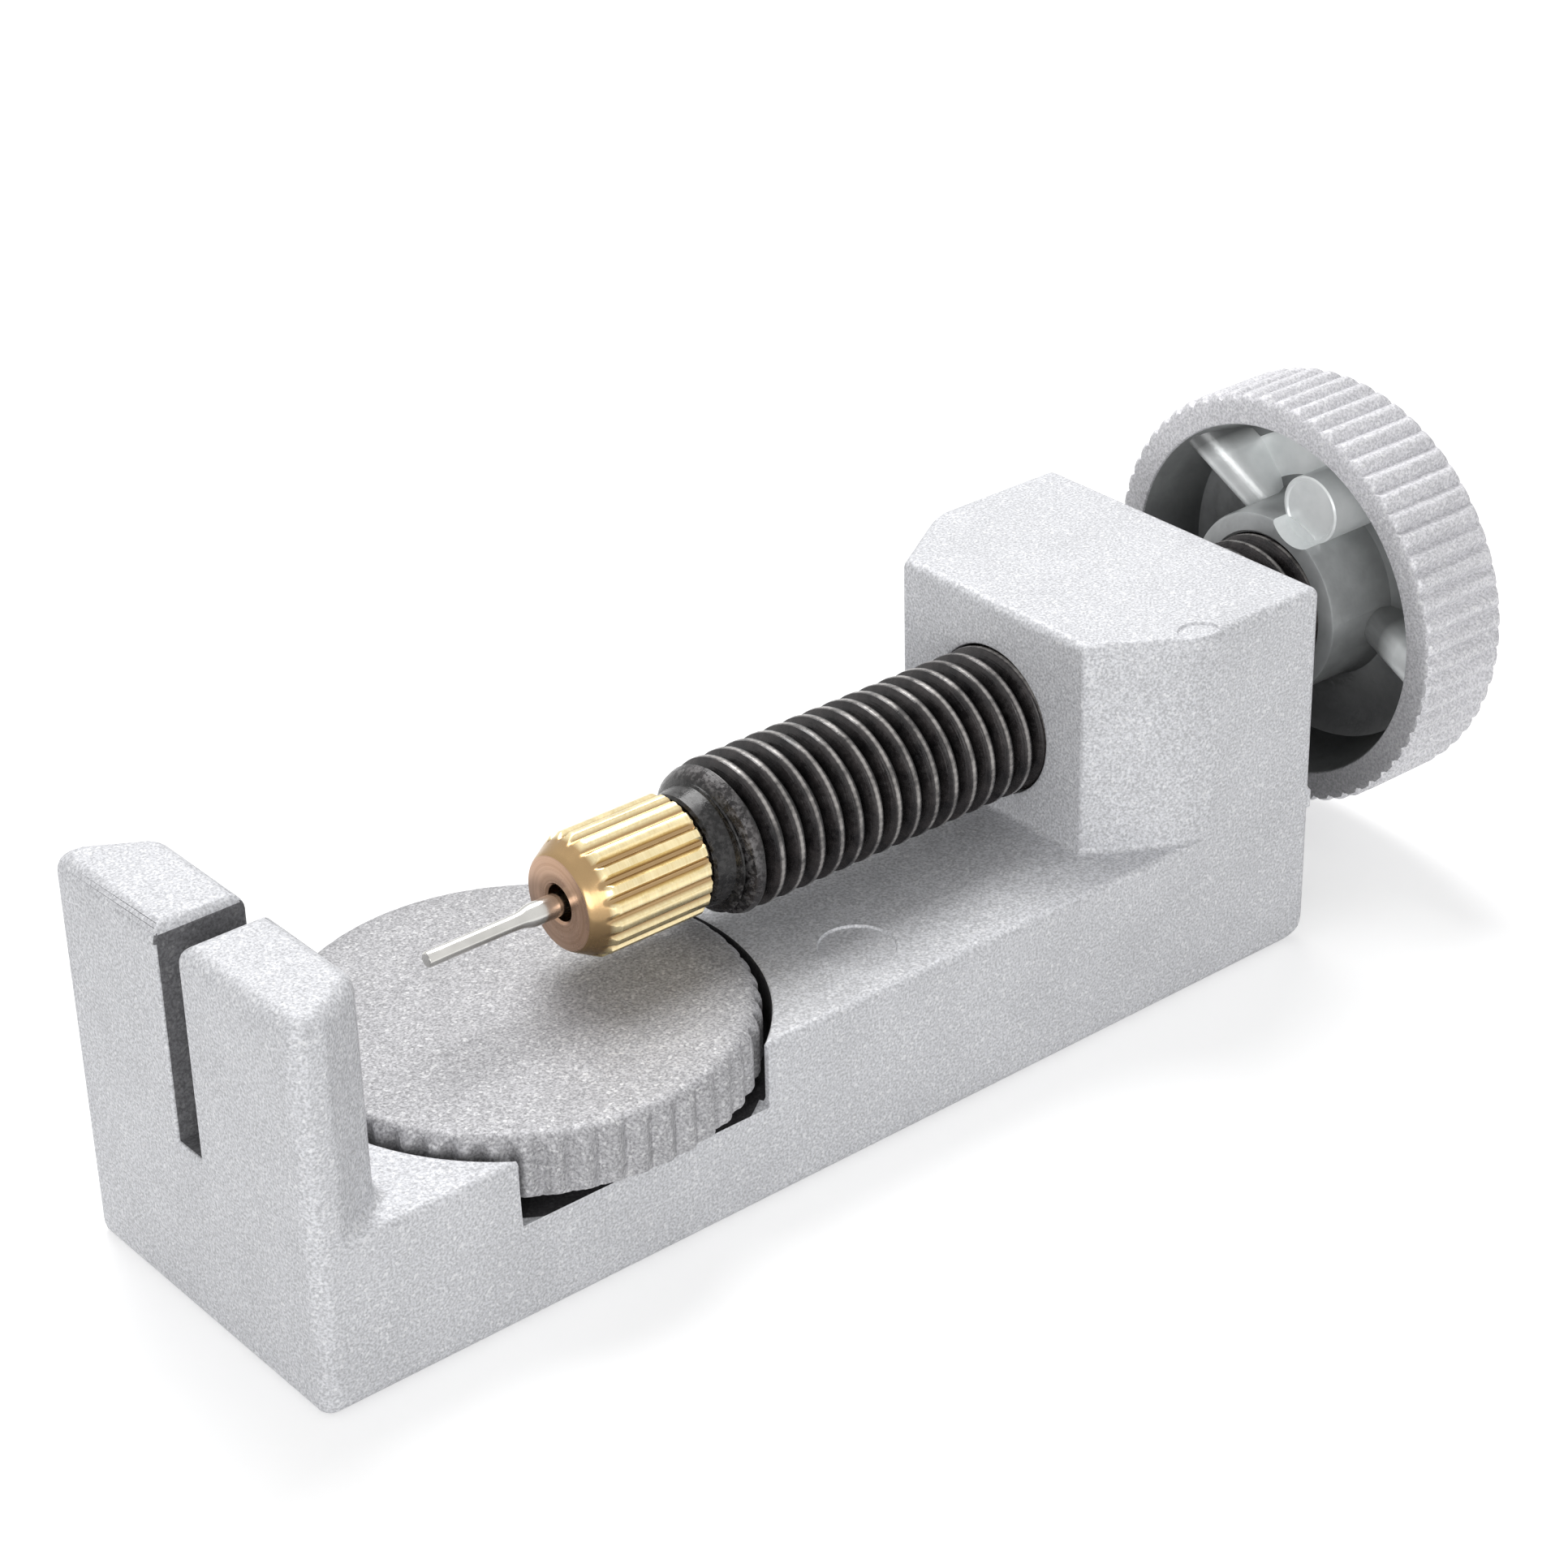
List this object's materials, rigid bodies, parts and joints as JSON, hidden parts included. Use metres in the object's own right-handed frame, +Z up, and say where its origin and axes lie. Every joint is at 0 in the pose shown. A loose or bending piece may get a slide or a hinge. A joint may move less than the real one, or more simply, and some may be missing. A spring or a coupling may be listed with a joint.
{
  "type": "watch link remover",
  "caption": "Bench press for watch bracelets: cast body with slotted post and height disc, and a knob-driven screw whose nut holds a push pin.",
  "frame": {"origin": "centre of the part's overall box at the flat bottom face", "axes": "+X along the drive screw, from the slotted post to the knob; +Z up; +Y across the body"},
  "size_m": [0.0754, 0.0234, 0.0258],
  "materials": {
    "cast_silver": "fine metallic speckle, satin",
    "disc_silver": "fine metallic speckle, satin",
    "black_oxide": "oiled black oxide",
    "stud_steel": "plain turned steel",
    "bright_steel": "polished hardened steel",
    "brass": "turned, bright",
    "knob_silver": "fine metallic speckle outside, bare zinc in the hollow"
  },
  "bodies": {
    "body": {"body_casting": "cast_silver"},
    "pin": {"push_pin": "bright_steel"},
    "screw": {"drive_screw": "black_oxide", "pin_nut": "brass", "knob": "knob_silver"},
    "ring": {"stop_ring": "stud_steel"},
    "disc": {"height_disc": "disc_silver", "disc_stud": "stud_steel"}
  },
  "joints": [
    {"name": "screw_travel", "type": "slide", "parent": "body", "child": "pin", "axis": [-1, 0, 0], "range_m": [-0.01625, 0.00625]},
    {"name": "screw_turn", "type": "hinge", "parent": "pin", "child": "screw", "pos_m": [0, 0, 0.0141], "axis": [-1, 0, 0], "range_deg": [-4682, 1802]},
    {"name": "disc_travel", "type": "slide", "parent": "body", "child": "ring", "axis": [0, 0, 1], "range_m": [-0.00085, 0.0003]},
    {"name": "disc_turn", "type": "hinge", "parent": "ring", "child": "disc", "pos_m": [-0.01935, 0, 0], "axis": [0, 0, 1], "range_deg": [-307, 109]}
  ],
  "couplings": [
    {"joint": "screw_turn", "follows": "screw_travel", "rad_per_m": 5026.5},
    {"joint": "disc_turn", "follows": "disc_travel", "rad_per_m": 6283.2}
  ]
}
